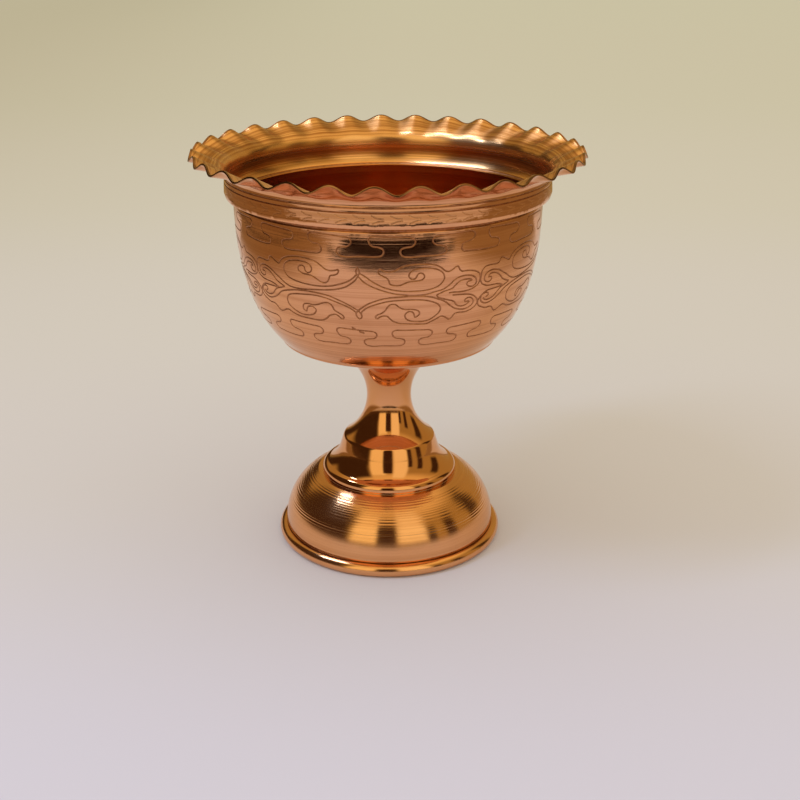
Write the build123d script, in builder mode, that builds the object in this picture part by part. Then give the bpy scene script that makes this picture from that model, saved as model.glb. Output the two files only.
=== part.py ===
"""Footed offering bowl in copper sheet: a scalloped bowl on a trumpet stem and a domed base.

Three spun shells are soldered one on the other, and the base has its lower edge rolled over a wire.
Sizes are in millimetres, +Z is up, and the origin is on the table under the middle of the base.
"""
import os
from math import atan2, cos, radians, sin, tan

from build123d import *

os.makedirs("parts", exist_ok=True)

# Sheet and solder
sheet = 0.9  # copper sheet of the spun shells
solder_film = 0.15  # solder drawn into a seam
solder_leg = 0.8  # reach of the solder fillet beside a seam
solder_share = 0.4  # of that reach, filled along each side at the middle of the fillet

# Base: a dome whose lower edge is rolled over a wire
base_height = 27.4  # table to the land that carries the stem
base_lip = 3.2  # land under the stem, from the stem's outside in to the base's hole
base_ledge = 2.0  # land that shows outside the stem
dome_radius = 43.0  # widest outside radius of the dome
skirt_height = 6.0  # height at which the dome's curve has become upright
wire_radius = 1.6
wire_clearance = 0.05  # room round the wire in the rolled edge
wire_offset = 0.4  # middle of the wire, outside the dome's radius
roll_turn = 282  # degrees that the sheet goes round the wire
roll_flat = 0.12  # depth of the flat that the rolled edge stands on

# Stem: a trumpet with a shoulder, a flared step and a ring at its foot
stem_height = 52.45  # foot of the stem to its mouth
mouth_radius = 22.5
mouth_edge = 0.5  # upright edge of the mouth, which is filed flat
waist_radius = 9.0
waist_height = 32.2  # above the foot of the stem, as the next three
shoulder_height = 15.2
step_height = 11.05
flare_height = 3.5
shoulder_radius = 18.6
step_spread = 1.3  # how far the flared step starts outside the shoulder
flare_round = 13.0
foot_radius = 27.4
foot_ring = 2.2  # width of the ring round the foot
foot_ring_round = 2.4
foot_edge = 1.4  # upright edge of the foot

# Bowl: the floor, heel, side, collar and neck are spun
floor_margin = 2.0  # flat floor outside the stem's mouth
heel_radius = 42.2
heel_height = 6.5  # above the floor
heel_slope = 45.8  # degrees, of the side where it leaves the heel
heel_reach = 11.1  # how far that slope draws the side
wall_radius = 58.95
wall_height = 61.6  # floor to the groove under the collar
wall_reach = 34.5  # how far down the upright wall draws the side
collar_bulge = 3.45  # collar outside the wall
collar_height = 7.6
neck_step = 2.95  # neck outside the wall
neck_height = 2.4

# Brim: flares from the neck, its edge crimped in even scallops
brim_sheet = 0.75  # spinning has thinned the brim
brim_overhang = 12.6  # middle of the edge's wave, outside the neck
brim_rise = 6.9  # neck to the middle of the edge's wave
brim_tuck = 0.7  # depth at which the brim starts in the neck
brim_bend = 2.6  # how far the upright neck draws the flare
brim_reach = 8.0  # how far the slope of the edge draws the flare
brim_slope = 22  # degrees, at the edge
scallops = 31
scallop_height = 3.3  # trough to crest, square to the sheet at the edge
scallop_round = 0.1  # how much rounder crests are than troughs
scallop_share = 0.3  # part of the wave that reaches in over the flare
first_crest = -92.95  # degrees about the axis, from +X
scallop_sections = 9  # sections through one scallop

# Levels and radii that the pieces share
solder_throat = solder_leg * solder_share
stem_foot_z = base_height + solder_film
stem_mouth_z = stem_foot_z + stem_height
floor_z = stem_mouth_z + solder_film
heel_z = floor_z + heel_height
collar_z = floor_z + wall_height
neck_z = collar_z + collar_height
brim_z = neck_z + neck_height
edge_z = brim_z + brim_rise
roll_radius = wire_radius + wire_clearance
bead_radius = roll_radius + sheet
wire_ring_radius = dome_radius + wire_offset
wire_z = bead_radius - roll_flat
base_hole_radius = foot_radius - base_lip
foot_bore_radius = foot_radius - sheet
floor_radius = mouth_radius + floor_margin
neck_radius = wall_radius + neck_step


def radial_plane(angle: float) -> Plane:
    """Upright plane through the axis, turned by an angle in degrees from +X."""
    turn = radians(angle)
    return Plane((0, 0, 0), x_dir=(cos(turn), sin(turn), 0), z_dir=(sin(turn), -cos(turn), 0))


# Base: land, dome, tuck above the roll, roll round the wire, then the same inside
land_radius = foot_radius + base_ledge
dome_width = dome_radius - land_radius
dome_rise = base_height - skirt_height
dome_round = (dome_width**2 + dome_rise**2) / (2 * dome_width)
vault_round = dome_round - sheet
vault_rise = dome_rise - sheet
vault_radius = dome_radius - dome_round + (vault_round**2 - vault_rise**2) ** 0.5
tuck_z = (skirt_height + wire_z) / 2
tuck_radius = wire_ring_radius - roll_radius

with BuildPart() as base:
    with BuildSketch(Plane.XZ):
        with BuildLine():
            land = Line((base_hole_radius, base_height), (land_radius, base_height))
            dome = RadiusArc(land @ 1, (dome_radius, skirt_height), dome_round)
            Bezier(dome @ 1, (dome_radius, tuck_z), (tuck_radius, tuck_z), (tuck_radius, wire_z))
            roll = CenterArc((wire_ring_radius, wire_z), roll_radius, 180, roll_turn)
            bead = CenterArc((wire_ring_radius, wire_z), bead_radius, 180, roll_turn)
            Line(roll @ 1, bead @ 1)
            lining = Bezier(
                bead @ 0,
                (tuck_radius - sheet, tuck_z),
                (dome_radius - sheet, tuck_z),
                (dome_radius - sheet, skirt_height),
            )
            vault = RadiusArc(lining @ 1, (vault_radius, base_height - sheet), -vault_round)
            Polyline(vault @ 1, (base_hole_radius, base_height - sheet), land @ 0)
        make_face()
    revolve(axis=Axis.Z)
    split(bisect_by=Plane.XY, keep=Keep.TOP)

# Wire in the rolled edge, level with the flat that the edge stands on at its lowest
with BuildPart() as base_wire:
    with BuildSketch(Plane.XZ):
        with Locations((wire_ring_radius, wire_z)):
            Circle(wire_radius)
    revolve(axis=Axis.Z)

# Stem: the outside is drawn and the sheet lies inside it, then the mouth is filed flat
with BuildPart() as stem:
    with BuildSketch(Plane.XZ):
        with BuildLine():
            trumpet = ThreePointArc(
                (mouth_radius, stem_mouth_z - mouth_edge),
                (waist_radius, stem_foot_z + waist_height),
                (shoulder_radius, stem_foot_z + shoulder_height),
            )
            shoulder = Line(trumpet @ 1, (shoulder_radius + step_spread, stem_foot_z + step_height))
            flare_foot = (foot_radius - foot_ring, stem_foot_z + flare_height)
            flare = RadiusArc(shoulder @ 1, flare_foot, -flare_round)
            ring = RadiusArc(flare @ 1, (foot_radius, stem_foot_z + foot_edge), foot_ring_round)
            Line(ring @ 1, (foot_radius, stem_foot_z))
            offset(amount=sheet, side=Side.RIGHT)
        make_face()
    revolve(axis=Axis.Z)
    split(bisect_by=Plane.XY.offset(stem_mouth_z), keep=Keep.BOTTOM)

# Solder between stem and base: a film under the foot, with its fillet inside the stem
with BuildPart() as base_solder:
    with BuildSketch(Plane.XZ):
        with BuildLine():
            seam = Polyline(
                (foot_bore_radius - solder_leg, base_height),
                (foot_radius, base_height),
                (foot_radius, stem_foot_z),
                (foot_bore_radius, stem_foot_z),
                (foot_bore_radius, stem_foot_z + solder_leg),
            )
            throat = (foot_bore_radius - solder_throat, base_height + solder_throat)
            ThreePointArc(seam @ 1, throat, seam @ 0)
        make_face()
    revolve(axis=Axis.Z)

# Solder between bowl and stem: a film over the mouth, with its fillet round the mouth's edge
mouth_land = stem.faces().sort_by(Axis.Z)[-1]
mouth_bore_radius = mouth_land.edges().sort_by(SortBy.RADIUS)[0].radius

with BuildPart() as bowl_solder:
    with BuildSketch(Plane.XZ):
        with BuildLine():
            seam = Polyline(
                (mouth_radius + solder_leg, floor_z),
                (mouth_bore_radius, floor_z),
                (mouth_bore_radius, stem_mouth_z),
                (mouth_radius, stem_mouth_z),
                (mouth_radius, stem_mouth_z - mouth_edge),
            )
            throat = (mouth_radius + solder_throat, floor_z - solder_throat)
            ThreePointArc(seam @ 1, throat, seam @ 0)
        make_face()
    revolve(axis=Axis.Z)

# One scallop of the brim, from trough to trough, lofted through sections of the sheet
tilt = radians(brim_slope)
brim_radius = neck_radius + brim_overhang
brim_root_radius = neck_radius - (sheet - brim_sheet) / 2
brim_root_bore = brim_root_radius - brim_sheet
brim_start_z = brim_z - brim_tuck
edge_draw = Vector(-brim_reach * cos(tilt), -brim_reach * sin(tilt))
edge_square = Vector(-brim_sheet * sin(tilt), brim_sheet * cos(tilt))
edge_lift = edge_square * (scallop_height / (2 * brim_sheet))

with BuildPart() as scallop:
    for section in range(scallop_sections):
        angle = 360 / scallops * (section / (scallop_sections - 1) - 0.5)
        phase = radians(angle * scallops)
        wave = edge_lift * (cos(phase) - scallop_round * cos(2 * phase))
        lower_edge = Vector(brim_radius, edge_z) + wave
        upper_edge = lower_edge + edge_square
        draw = edge_draw - wave * (1 - scallop_share)
        with BuildSketch(radial_plane(angle)):
            with BuildLine():
                underside = Bezier(
                    (brim_root_radius, brim_start_z),
                    (brim_root_radius, brim_z + brim_bend),
                    lower_edge + draw,
                    lower_edge,
                )
                upside = Bezier(
                    upper_edge,
                    upper_edge + draw,
                    (brim_root_bore, brim_z + brim_bend + brim_sheet),
                    (brim_root_bore, brim_start_z),
                )
                Line(underside @ 1, upside @ 0)
                Line(upside @ 1, underside @ 0)
            make_face()
    loft()

# Bowl: the outside from the floor to the neck, then the inside back to the axis
heel = Vector(heel_radius, heel_z)
heel_angle = radians(heel_slope)
cone_angle = atan2(heel_height, heel_radius - floor_radius)
heel_mitre = sheet / cos((heel_angle - cone_angle) / 2)
mitre_angle = (heel_angle + cone_angle) / 2
inner_heel = heel + Vector(-heel_mitre * sin(mitre_angle), heel_mitre * cos(mitre_angle))
inner_floor_radius = floor_radius - sheet * tan(cone_angle / 2)
heel_draw = Vector(heel_reach * cos(heel_angle), heel_reach * sin(heel_angle))
collar_radius = wall_radius + collar_bulge
collar_mid_z = collar_z + collar_height / 2

with BuildPart() as bowl:
    with BuildSketch(Plane.XZ):
        with BuildLine():
            Polyline((0, floor_z), (floor_radius, floor_z), heel)
            Bezier(heel, heel + heel_draw, (wall_radius, collar_z - wall_reach), (wall_radius, collar_z))
            ThreePointArc((wall_radius, collar_z), (collar_radius, collar_mid_z), (neck_radius, neck_z))
            neck = Polyline(
                (neck_radius, neck_z),
                (neck_radius, brim_z),
                (neck_radius - sheet, brim_z),
                (neck_radius - sheet, neck_z),
            )
            inner_collar = ThreePointArc(
                neck @ 1, (collar_radius - sheet, collar_mid_z), (wall_radius - sheet, collar_z)
            )
            Bezier(
                inner_collar @ 1,
                (wall_radius - sheet, collar_z - wall_reach),
                inner_heel + heel_draw,
                inner_heel,
            )
            inner_floor_z = floor_z + sheet
            Polyline(inner_heel, (inner_floor_radius, inner_floor_z), (0, inner_floor_z), (0, floor_z))
        make_face()
    revolve(axis=Axis.Z)
    with PolarLocations(0, scallops, start_angle=first_crest):
        add(scallop.part)

pieces = {
    "base": base,
    "base_wire": base_wire,
    "base_solder": base_solder,
    "stem": stem,
    "bowl_solder": bowl_solder,
    "bowl": bowl,
}
for name, piece in pieces.items():
    piece.part.label = name
    export_step(piece.part, f"parts/{name}.step")
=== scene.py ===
"""Dresses a footed offering bowl: spun copper shells, a crimped brim and hand-engraved bands.

Sizes are in millimetres until a mesh is made. +Z is up and -Y is the side that the picture shows.
Bearings round the axis are in degrees from -Y, positive to the right as seen from there.
"""

import logging
import math
from dataclasses import dataclass
from enum import Enum

import bmesh
import bpy
import numpy as np
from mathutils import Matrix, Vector
from mathutils.geometry import delaunay_2d_cdt
from mathutils.kdtree import KDTree


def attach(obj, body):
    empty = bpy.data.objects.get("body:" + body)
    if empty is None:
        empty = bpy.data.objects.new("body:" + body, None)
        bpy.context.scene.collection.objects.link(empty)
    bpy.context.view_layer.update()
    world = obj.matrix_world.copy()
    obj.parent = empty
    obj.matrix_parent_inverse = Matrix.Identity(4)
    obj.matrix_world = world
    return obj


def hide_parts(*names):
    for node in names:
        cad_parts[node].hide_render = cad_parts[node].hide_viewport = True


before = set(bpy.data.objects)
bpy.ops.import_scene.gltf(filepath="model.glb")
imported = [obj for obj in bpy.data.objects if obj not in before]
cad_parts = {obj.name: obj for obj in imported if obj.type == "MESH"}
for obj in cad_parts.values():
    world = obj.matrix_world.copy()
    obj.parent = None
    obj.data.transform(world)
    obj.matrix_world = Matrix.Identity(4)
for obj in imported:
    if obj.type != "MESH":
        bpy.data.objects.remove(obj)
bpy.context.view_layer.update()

LOG = logging.getLogger("offering_bowl")
MM = 0.001
WELD = 1e-6  # metres, within which vertices are one
SAME_POINT = 1e-6  # millimetres, within which points of a section are one
Point = tuple[float, float]
Line = list[Point]
Colour = tuple[float, float, float]


class Body(Enum):
    """What a piece moves with."""

    ROOT = "root"


class Skin(Enum):
    """Faces of the bowl that differ in finish, by their material's place on the mesh."""

    OUTSIDE = 0
    INSIDE = 1
    ENGRAVED = 2
    LIGHT_CUT = 3
    RAW_EDGE = 4
    # The inside below the collar, whose darker copper is painted shade.
    WELL = 5


# Lines of a section


def straight(first: Point, last: Point, count: int) -> Line:
    """Gives evenly spaced points on a straight run.

    Args:
        first: Start of the run.
        last: End of the run.
        count: Number of spaces.

    Returns:
        The points, both ends included.
    """
    shares = np.linspace(0.0, 1.0, count + 1)
    return [(first[0] + (last[0] - first[0]) * t, first[1] + (last[1] - first[1]) * t) for t in shares]


def bezier(handles: list[Point], count: int) -> Line:
    """Gives points on a cubic curve.

    Args:
        handles: The curve's four control points.
        count: Number of spaces.

    Returns:
        The points, both ends included.
    """
    t = np.linspace(0.0, 1.0, count + 1)[:, None]
    a, b, c, d = np.array(handles, float)
    run = (1 - t) ** 3 * a + 3 * t * (1 - t) ** 2 * b + 3 * t * t * (1 - t) * c + t**3 * d
    return [tuple(p) for p in run]


def arc_about(centre: Point, radius: float, start: float, turn: float, count: int) -> Line:
    """Gives points on an arc.

    Args:
        centre: Middle of the arc.
        radius: Its radius.
        start: Angle of its start in degrees, from the direction of growing radius.
        turn: Degrees that it turns, positive towards +Z.
        count: Number of spaces.

    Returns:
        The points, both ends included.
    """
    angles = np.radians(np.linspace(start, start + turn, count + 1))
    return [(centre[0] + radius * math.cos(a), centre[1] + radius * math.sin(a)) for a in angles]


def arc_through(first: Point, middle: Point, last: Point, count: int) -> Line:
    """Gives points on the arc through three points.

    Args:
        first: Start of the arc.
        middle: A point on it.
        last: End of the arc.
        count: Number of spaces.

    Returns:
        The points, both ends included.
    """
    a, b, c = (np.array(p, float) for p in (first, middle, last))
    rows = 2 * np.array([b - a, c - a])
    centre = np.linalg.solve(rows, [b @ b - a @ a, c @ c - a @ a])
    angles = [math.degrees(math.atan2(*(p - centre)[::-1])) for p in (a, b, c)]
    turn = (angles[2] - angles[0] + 180) % 360 - 180
    return arc_about(tuple(centre), float(np.linalg.norm(a - centre)), angles[0], turn, count)


def arc_of_radius(first: Point, last: Point, radius: float, count: int) -> Line:
    """Gives points on the shorter arc of a radius between two points.

    Args:
        first: Start of the arc.
        last: End of the arc.
        radius: Its radius, positive if the arc's middle is on the right of the way from first to last.
        count: Number of spaces.

    Returns:
        The points, both ends included.
    """
    a, b = np.array(first, float), np.array(last, float)
    chord = b - a
    half = np.linalg.norm(chord) / 2
    right = np.array([chord[1], -chord[0]]) / (2 * half)
    height = math.sqrt(max(radius**2 - half**2, 0.0))
    centre = (a + b) / 2 + right * math.copysign(height, radius)
    sagitta = abs(radius) - height
    middle = (a + b) / 2 - right * math.copysign(sagitta, radius)
    return arc_through(first, tuple(middle), last, count)


def joined(*runs: Line) -> Line:
    """Puts runs end to end and drops the points that repeat.

    Args:
        *runs: The runs, in order.

    Returns:
        One line.
    """
    line: Line = []
    for run in runs:
        for point in run:
            if not line or math.dist(point, line[-1]) > SAME_POINT:
                line.append(point)
    return line


def eased(line: Line, corner: Point, reach: float, count: int = 4) -> Line:
    """Rounds a corner of a line.

    Args:
        line: The line.
        corner: A point of the line.
        reach: Distance from the corner at which the rounding starts on each side.
        count: Spaces in the rounding.

    Returns:
        The line with the corner rounded.
    """
    at = min(range(len(line)), key=lambda i: math.dist(line[i], corner))
    tip = np.array(line[at], float)
    before = [p for p in line[:at] if math.dist(p, corner) > reach]
    after = [p for p in line[at + 1:] if math.dist(p, corner) > reach]
    ends = []
    for neighbour in (before[-1], after[0]):
        way = np.array(neighbour, float) - tip
        ends.append(tip + way / np.linalg.norm(way) * reach)
    t = np.linspace(0.0, 1.0, count + 1)[:, None]
    round_run = (1 - t) ** 2 * ends[0] + 2 * t * (1 - t) * tip + t * t * ends[1]
    return before + [tuple(p) for p in round_run] + after


def way_along(points: np.ndarray) -> np.ndarray:
    """Gives the distance from a line's start to each of its points.

    Args:
        points: Rows of two numbers.

    Returns:
        The distances.
    """
    gaps = np.linalg.norm(np.diff(points, axis=0), axis=1)
    return np.concatenate([[0.0], np.cumsum(gaps)])


def headings(points: np.ndarray) -> np.ndarray:
    """Gives the direction of a line at each of its points.

    Args:
        points: Rows of two numbers.

    Returns:
        Rows of unit length.
    """
    along = np.gradient(points, axis=0)
    return along / np.linalg.norm(along, axis=1)[:, None]


def turned_lines(line: Line, depth: float, pitch: float) -> Line:
    """Cuts shallow tool marks into a run, as a spinner's tool leaves them.

    Args:
        line: A finely divided run.
        depth: Greatest depth of a mark.
        pitch: Mean distance between marks.

    Returns:
        The run with its marks, its ends unchanged.
    """
    points = np.array(line, float)
    way = way_along(points)
    along = np.gradient(points, way, axis=0)
    inward = np.stack([-along[:, 1], along[:, 0]], 1)
    inward *= np.sign(-inward[:, :1].sum())
    swing = 0.5 - 0.5 * np.cos(math.tau * way / pitch + 1.1 * np.sin(way / pitch))
    vary = 0.62 + 0.38 * np.sin(way * 0.9 + 0.6 * np.sin(way * 2.3))
    fade = np.clip(np.minimum(way, way[-1] - way) / pitch, 0.0, 1.0)
    return [tuple(p) for p in points + inward * (depth * swing * vary * fade)[:, None]]


# Meshes


def turn_section(bm: bmesh.types.BMesh, section: Line, steps: int, skin: int = 0,
                 closed: bool = False) -> list[bmesh.types.BMVert]:
    """Spins a section about the axis into a mesh.

    Args:
        bm: The mesh that takes it.
        section: Points of radius and height.
        steps: Steps of the full turn.
        skin: Material's place for the new faces.
        closed: Whether the section's last point joins its first.

    Returns:
        The new vertices.
    """
    part = bmesh.new()
    verts = [part.verts.new((0.0, r * MM, z * MM)) for r, z in section]
    pairs = list(zip(verts, verts[1:]))
    if closed:
        pairs.append((verts[-1], verts[0]))
    edges = [part.edges.new(pair) for pair in pairs]
    bmesh.ops.spin(part, geom=verts + edges, cent=(0, 0, 0), axis=(0, 0, 1), dvec=(0, 0, 0), angle=math.tau,
                   steps=steps, use_merge=True)
    for face in part.faces:
        face.material_index = skin
    mesh = bpy.data.meshes.new("section")
    part.to_mesh(mesh)
    part.free()
    count = len(bm.verts)
    bm.from_mesh(mesh)
    bpy.data.meshes.remove(mesh)
    bm.verts.ensure_lookup_table()
    return bm.verts[count:]


def close_shell(bm: bmesh.types.BMesh, crease: float = 40.0) -> None:
    """Welds a mesh's seams, turns its faces outwards and marks its sharp edges.

    Args:
        bm: The mesh.
        crease: Angle in degrees above which an edge is sharp.
    """
    bmesh.ops.remove_doubles(bm, verts=bm.verts[:], dist=WELD)
    bmesh.ops.recalc_face_normals(bm, faces=bm.faces[:])
    for face in bm.faces:
        face.smooth = True
    for edge in bm.edges:
        edge.smooth = edge.calc_face_angle(0.0) < math.radians(crease)


def make_piece(bm: bmesh.types.BMesh, name: str, materials: list[bpy.types.Material]) -> bpy.types.Object:
    """Makes a mesh an object of the scene.

    Args:
        bm: The mesh, which is freed.
        name: Name of the piece.
        materials: Its materials in order.

    Returns:
        The object.
    """
    mesh = bpy.data.meshes.new(name)
    bm.to_mesh(mesh)
    bm.free()
    for material in materials:
        mesh.materials.append(material)
    piece = bpy.data.objects.new(name, mesh)
    bpy.context.scene.collection.objects.link(piece)
    return piece


def hand_over(piece: bpy.types.Object, node: str) -> None:
    """Sets a piece in the frame in place of its solid.

    Args:
        piece: The piece.
        node: The solid that it stands for.
    """
    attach(piece, Body.ROOT.value)
    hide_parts(node)
    LOG.info("%s: %d faces", piece.name, len(piece.data.polygons))


def spun_piece(name: str, node: str, runs: list[tuple[Line, int]], steps: int,
               materials: list[bpy.types.Material], closed: bool = False) -> bpy.types.Object:
    """Spins a whole piece and sets it in the frame.

    Args:
        name: Name of the piece.
        node: The solid that it stands for.
        runs: Runs of its section, each with its material's place.
        steps: Steps of the full turn.
        materials: Its materials in order.
        closed: Whether each run's last point joins its first.

    Returns:
        The piece.
    """
    bm = bmesh.new()
    for run, place in runs:
        turn_section(bm, run, steps, place, closed)
    close_shell(bm)
    piece = make_piece(bm, name, materials)
    hand_over(piece, node)
    return piece


# Finishes


class Nodes:
    """Short ways to add and join the nodes of one material or world."""

    def __init__(self, tree: bpy.types.NodeTree) -> None:
        """Empties a tree and keeps it."""
        self.tree = tree
        tree.nodes.clear()

    def add(self, kind: str, inputs: dict | None = None, **settings: object) -> bpy.types.Node:
        """Adds a node.

        Args:
            kind: Type of the node.
            inputs: Values or sockets for its inputs, by name or place.
            **settings: Properties of the node.

        Returns:
            The node.
        """
        node = self.tree.nodes.new(kind)
        for name, value in settings.items():
            setattr(node, name, value)
        for name, value in (inputs or {}).items():
            if isinstance(value, bpy.types.NodeSocket):
                self.tree.links.new(value, node.inputs[name])
            else:
                node.inputs[name].default_value = value
        return node

    def math(self, operation: str, first: object, second: object = 0.0) -> bpy.types.NodeSocket:
        """Gives the result of a sum on two numbers or sockets."""
        return self.add("ShaderNodeMath", {0: first, 1: second}, operation=operation).outputs[0]

    def between(self, value: object, low: float, high: float,
                out: Point = (0.0, 1.0)) -> bpy.types.NodeSocket:
        """Gives a smooth step from low to high."""
        inputs = {"Value": value, "From Min": low, "From Max": high, "To Min": out[0], "To Max": out[1]}
        return self.add("ShaderNodeMapRange", inputs, interpolation_type="SMOOTHSTEP").outputs["Result"]

    def mix(self, share: object, first: object, second: object) -> bpy.types.NodeSocket:
        """Gives the blend of two colours or colour sockets.

        Args:
            share: Share of the second, as a number or a socket.
            first: The first colour.
            second: The second colour.

        Returns:
            The blend's socket.
        """
        node = self.add("ShaderNodeMix", {"Factor": share}, data_type="RGBA")
        for place, value in ((6, first), (7, second)):
            if isinstance(value, bpy.types.NodeSocket):
                self.tree.links.new(value, node.inputs[place])
            else:
                node.inputs[place].default_value = (*value, 1.0)
        return node.outputs[2]

    def to_surface(self, shader: bpy.types.Node) -> None:
        """Makes a shader the surface of the material."""
        self.add("ShaderNodeOutputMaterial", {"Surface": shader.outputs["BSDF"]})


def new_material(name: str) -> tuple[bpy.types.Material, Nodes]:
    """Starts a procedural material.

    Args:
        name: Name of the material.

    Returns:
        The material and its empty tree.
    """
    material = bpy.data.materials.new(name)
    material.use_nodes = True
    return material, Nodes(material.node_tree)


@dataclass(frozen=True)
class Copper:
    """Copper as the lathe leaves it: a tint, faint tarnish, a gloss and turned lines round the axis."""

    name: str
    colour: Colour
    tarnish: Colour
    tarnish_share: float
    gloss: Point  # least and greatest roughness
    line_pitch: float  # millimetres between turned lines
    line_depth: float  # millimetres
    brushed: float = 0.0  # how much further the gloss spreads across the turned lines than along them
    ring_tarnish_and_sheen: float = 0.0  # share of colour that lies in rings: partly tarnish, partly painted reflection streaks along the turned lines

    def material(self) -> bpy.types.Material:
        """Builds the finish on Object coordinates.

        Returns:
            The material.
        """
        material, nodes = new_material(self.name)
        place = nodes.add("ShaderNodeTexCoord").outputs["Object"]
        parts = nodes.add("ShaderNodeSeparateXYZ", {"Vector": place})
        flat = nodes.add("ShaderNodeCombineXYZ", {"X": parts.outputs["X"], "Y": parts.outputs["Y"]})
        radius = nodes.add("ShaderNodeVectorMath", {0: flat.outputs[0]}, operation="LENGTH").outputs["Value"]
        ring = nodes.math("ADD", parts.outputs["Z"], nodes.math("MULTIPLY", radius, 0.83))
        lines = self._ring_noise(nodes, ring, 1000.0 / self.line_pitch, 2.0)
        bands = self._ring_noise(nodes, ring, 180.0 / self.line_pitch, 1.0)
        bloom = nodes.add("ShaderNodeTexNoise", {
            "Vector": place, "Scale": 42.0, "Detail": 3.0, "Roughness": 0.55})
        share = nodes.between(bloom.outputs["Fac"], 0.38, 0.72, (0.0, self.tarnish_share))
        # Rings of darker colour: partly tarnish, partly painted reflection streaks.
        tarnish_and_sheen_rings = nodes.between(nodes.math("ADD", lines, bands), 0.85, 1.25, (0.0, self.ring_tarnish_and_sheen))
        colour = nodes.mix(nodes.math("ADD", share, tarnish_and_sheen_rings), self.colour, self.tarnish)
        wear = nodes.math("ADD", nodes.math("MULTIPLY", lines, 0.45), nodes.math("MULTIPLY", bands, 0.55))
        gloss = nodes.between(wear, 0.25, 0.75, self.gloss)
        height = nodes.math("ADD", lines, nodes.math("MULTIPLY", bands, 1.6))
        bump = nodes.add("ShaderNodeBump", {
            "Strength": 1.0, "Distance": self.line_depth * MM, "Height": height})
        shader = nodes.add("ShaderNodeBsdfPrincipled", {
            "Base Color": colour, "Roughness": gloss, "Normal": bump.outputs["Normal"], "Metallic": 1.0,
            "Anisotropic": self.brushed, "Anisotropic Rotation": 0.25})
        if self.brushed:
            around = nodes.add("ShaderNodeTangent", direction_type="RADIAL", axis="Z")
            nodes.tree.links.new(around.outputs["Tangent"], shader.inputs["Tangent"])
        nodes.to_surface(shader)
        return material

    def _ring_noise(self, nodes: Nodes, ring: bpy.types.NodeSocket, scale: float,
                    detail: float) -> bpy.types.NodeSocket:
        """Gives noise that is the same all round the axis.

        Args:
            nodes: The material's nodes.
            ring: Place across the turned lines, in metres.
            scale: Waves in a metre.
            detail: Finer octaves.

        Returns:
            The noise's socket.
        """
        inputs = {"W": ring, "Scale": scale, "Detail": detail, "Roughness": 0.6}
        return nodes.add("ShaderNodeTexNoise", inputs, noise_dimensions="1D").outputs["Fac"]


@dataclass(frozen=True)
class DullMetal:
    """Metal with no turned lines: the engraver's cuts, drawn wire or soft solder."""

    name: str
    colour: Colour
    stain: Colour
    roughness: float
    grain: float  # size of the stain's patches, millimetres

    def material(self) -> bpy.types.Material:
        """Builds the finish on Object coordinates.

        Returns:
            The material.
        """
        material, nodes = new_material(self.name)
        place = nodes.add("ShaderNodeTexCoord").outputs["Object"]
        spots = nodes.add("ShaderNodeTexNoise", {
            "Vector": place, "Scale": 1000.0 / self.grain, "Detail": 4.0})
        colour = nodes.mix(nodes.between(spots.outputs["Fac"], 0.35, 0.7), self.colour, self.stain)
        bump = nodes.add("ShaderNodeBump", {
            "Strength": 0.5, "Distance": 0.02 * MM, "Height": spots.outputs["Fac"]})
        shader = nodes.add("ShaderNodeBsdfPrincipled", {
            "Base Color": colour, "Roughness": self.roughness, "Normal": bump.outputs["Normal"],
            "Metallic": 1.0})
        nodes.to_surface(shader)
        return material


SATIN_OUTSIDE = Copper(
    "satin_copper", (0.855, 0.415, 0.20), (0.62, 0.27, 0.115), 0.28, (0.065, 0.12), 0.8, 0.015, 0.0, 0.55)
BRIGHT_INSIDE = Copper(
    "bright_copper", (0.92, 0.49, 0.205), (0.50, 0.20, 0.055), 0.25, (0.2, 0.36), 1.3, 0.028, 0.85, 0.8)
# Painted shade: the well's copper is darkened because little light reaches deep inside the bowl.
PAINTED_SHADE_WELL = Copper(
    "well_copper_painted_shade", (0.56, 0.22, 0.075), (0.44, 0.15, 0.04), 0.55, (0.14, 0.24), 0.8, 0.006)
MIRROR_STEM = Copper(
    "mirror_copper", (0.81, 0.38, 0.155), (0.72, 0.32, 0.12), 0.22, (0.06, 0.11), 2.6, 0.003)
TURNED_BASE = Copper(
    "turned_copper", (0.88, 0.44, 0.195), (0.70, 0.31, 0.12), 0.20, (0.13, 0.21), 0.8, 0.009, 0.8, 0.35)
CUT_LINE = DullMetal("engraved_copper", (0.50, 0.215, 0.095), (0.36, 0.14, 0.055), 0.32, 1.5)
LIGHT_CUT = DullMetal("lightly_cut_copper", (0.80, 0.385, 0.185), (0.70, 0.32, 0.145), 0.24, 1.5)
RAW_EDGE = DullMetal("raw_edge", (0.40, 0.19, 0.08), (0.24, 0.11, 0.045), 0.15, 6.0)
# Painted shade in the recessed tuck between the dome and the rolled bead.
PAINTED_SHADE_TUCK = DullMetal("tuck_painted_shade", (0.30, 0.13, 0.055), (0.18, 0.075, 0.03), 0.40, 3.0)
DRAWN_WIRE = DullMetal("drawn_wire", (0.62, 0.33, 0.18), (0.45, 0.22, 0.11), 0.38, 4.0)
SOFT_SOLDER = DullMetal("soft_solder", (0.66, 0.62, 0.56), (0.45, 0.41, 0.36), 0.42, 1.2)


# Engraving


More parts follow.
